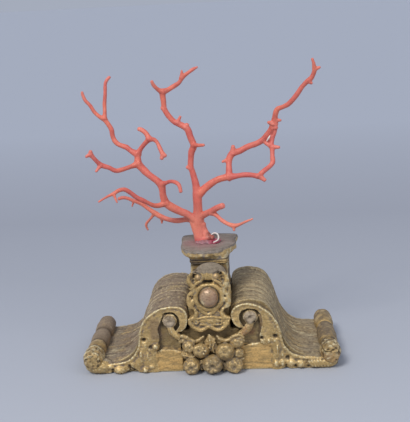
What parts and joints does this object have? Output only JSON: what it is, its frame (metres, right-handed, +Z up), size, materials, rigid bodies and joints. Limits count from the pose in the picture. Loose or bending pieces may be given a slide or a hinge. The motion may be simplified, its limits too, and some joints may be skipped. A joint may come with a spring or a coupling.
{
  "type": "red coral branch on a carved stand",
  "caption": "Branch of red coral fixed upright in wax on a small carved and gilded wooden stand with scroll sides and a moulded cap.",
  "frame": {"origin": "centre of the stand's flat underside, on the surface that it stands on", "axes": "+Z up along the coral's trunk, -Y towards the carved front, +X to the viewer's right"},
  "size_m": [0.2606, 0.1181, 0.3037],
  "materials": {
    "coral": "satin, finely ribbed",
    "gilded_wood": "worn gilding over carved wood",
    "worn_wood": "bare, grey and worn, with traces of gilding",
    "wax": "dull sealing wax",
    "wire": "white coated wire"
  },
  "bodies": {
    "root": {"centre_block": "gilded_wood", "left_scroll": "gilded_wood", "right_scroll": "gilded_wood", "fruit_bunch": "gilded_wood", "cartouche": "gilded_wood", "left_end_roll": "worn_wood", "right_end_roll": "worn_wood", "pedestal_cap": "worn_wood", "coral_trunk": "coral", "coral_middle_limb": "coral", "coral_right_limb": "coral", "coral_right_upper_branch": "coral", "coral_right_tip": "coral", "coral_right_lower_branch": "coral", "coral_left_limb": "coral", "coral_left_curl": "coral", "coral_left_high_branch": "coral", "coral_left_outer_branch": "coral", "coral_left_hooked_branch": "coral", "coral_low_front_branch": "coral", "coral_low_back_branch": "coral", "coral_stub_and_twig": "coral", "wire_loop": "wire", "wax_bed": "wax"}
  },
  "joints": []
}
